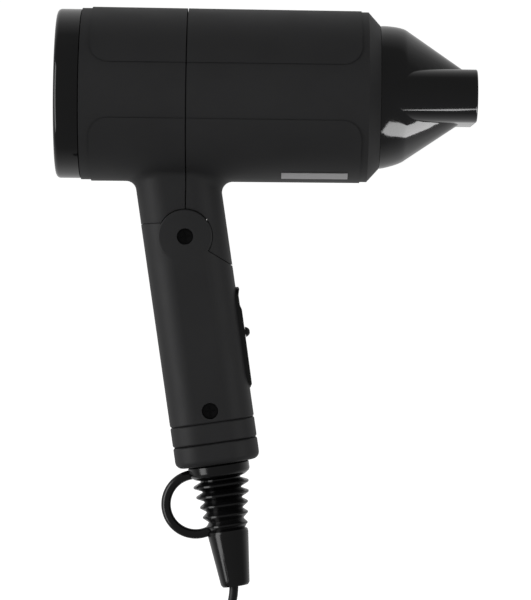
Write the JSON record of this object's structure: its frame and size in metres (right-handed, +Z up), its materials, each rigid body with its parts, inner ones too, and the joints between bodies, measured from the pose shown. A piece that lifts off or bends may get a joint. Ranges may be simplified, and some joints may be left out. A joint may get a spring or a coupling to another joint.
{
  "type": "folding hair dryer",
  "caption": "Folding hair dryer: round matt black barrel, glossy slot nozzle and rear cap, hinged grip with slide switch, ribbed strain relief with hanging loop, flat cord with plug.",
  "frame": {"origin": "middle of the grip, on the grip's own axis", "axes": "+X where the nozzle points with the barrel's axis parallel to X, +Z up from grip to barrel, +Y to the dryer's left as seen from behind the inlet"},
  "size_m": [0.1807, 0.0742, 0.4096],
  "materials": {
    "soft_black": "soft-touch matt black moulding",
    "gloss_black": "polished black moulding",
    "flex_black": "smooth black flexible moulding",
    "cord_black": "satin black cord sheath",
    "label_white": "blank pale foil label",
    "gauze": "fine dark gauze",
    "duct_white": "heat-resistant pale moulding",
    "motor_steel": "plated steel motor can",
    "shaft_steel": "ground steel",
    "fan_grey": "glass-filled grey moulding",
    "mica": "pressed mica",
    "heater_wire": "oxidised resistance wire",
    "thermostat_steel": "bimetal and steel",
    "fuse_body": "plated fuse case",
    "grille_black": "dark heat-resistant moulding",
    "pivot_black": "black engineering plastic",
    "board_green": "solder-masked board",
    "switch_black": "black switch body",
    "capacitor_blue": "blue film capacitor",
    "lead_sleeve": "insulated leads",
    "screw_black": "black oxide screw",
    "zinc_steel": "zinc-plated steel",
    "spring_steel": "spring wire",
    "tie_black": "plastic-coated tie",
    "plug_black": "moulded plug",
    "pin_nickel": "nickel-plated pins"
  },
  "bodies": {
    "handle": {"left_handle_shell": "soft_black", "right_handle_shell": "soft_black", "end_collar": "soft_black", "switch_plate": "gloss_black", "button_spring": "spring_steel", "circuit_board": "board_green", "speed_switch": "switch_black", "cool_switch": "switch_black", "noise_capacitor": "capacitor_blue", "handle_leads": "lead_sleeve", "hinge_sleeve": "zinc_steel", "hinge_screw": "screw_black", "hinge_nut": "zinc_steel", "hinge_washers": "spring_steel", "handle_screw": "screw_black", "strain_relief": "flex_black", "cord_lead": "cord_black", "plug_lead": "cord_black", "cord_hank": "cord_black", "cord_tie": "tie_black", "plug_body": "plug_black", "plug_pins": "pin_nickel"},
    "barrel": {"rear_shell": "soft_black", "front_shell": "soft_black", "rating_label": "label_white", "air_duct": "duct_white", "motor": "motor_steel", "mica_sleeve": "mica", "mica_boards": "mica", "heating_coils": "heater_wire", "thermostat": "thermostat_steel", "thermal_fuse": "fuse_body", "outlet_grille": "grille_black", "pivot_block": "pivot_black"},
    "rotor": {"fan": "fan_grey", "motor_shaft": "shaft_steel"},
    "inlet_cover": {"inlet_cap": "gloss_black", "dust_filter": "gauze"},
    "nozzle": {"nozzle": "gloss_black"},
    "slider": {"speed_slider": "gloss_black"},
    "button": {"cool_button": "gloss_black"}
  },
  "joints": [
    {"name": "barrel_fold", "type": "hinge", "parent": "handle", "child": "barrel", "pos_m": [-0.00774, 0, 0.0494], "axis": [0, 1, 0], "range_deg": [0, 75]},
    {"name": "fan_spin", "type": "hinge", "parent": "barrel", "child": "rotor", "pos_m": [-0.03874, 0, 0.111], "axis": [1, 0, 0], "continuous": true},
    {"name": "inlet_pull", "type": "slide", "parent": "barrel", "child": "inlet_cover", "axis": [-1, 0, 0], "range_m": [0, 0.01]},
    {"name": "nozzle_turn", "type": "hinge", "parent": "barrel", "child": "nozzle", "pos_m": [0.07626, 0, 0.111], "axis": [1, 0, 0], "continuous": true},
    {"name": "speed_slide", "type": "slide", "parent": "handle", "child": "slider", "axis": [0.1547, 0, -0.988], "range_m": [0, 0.01]},
    {"name": "cool_press", "type": "slide", "parent": "handle", "child": "button", "axis": [-0.988, 0, -0.1547], "range_m": [0, 0.001], "stiffness_N_per_m": 800, "springref_m": -0.0006}
  ]
}
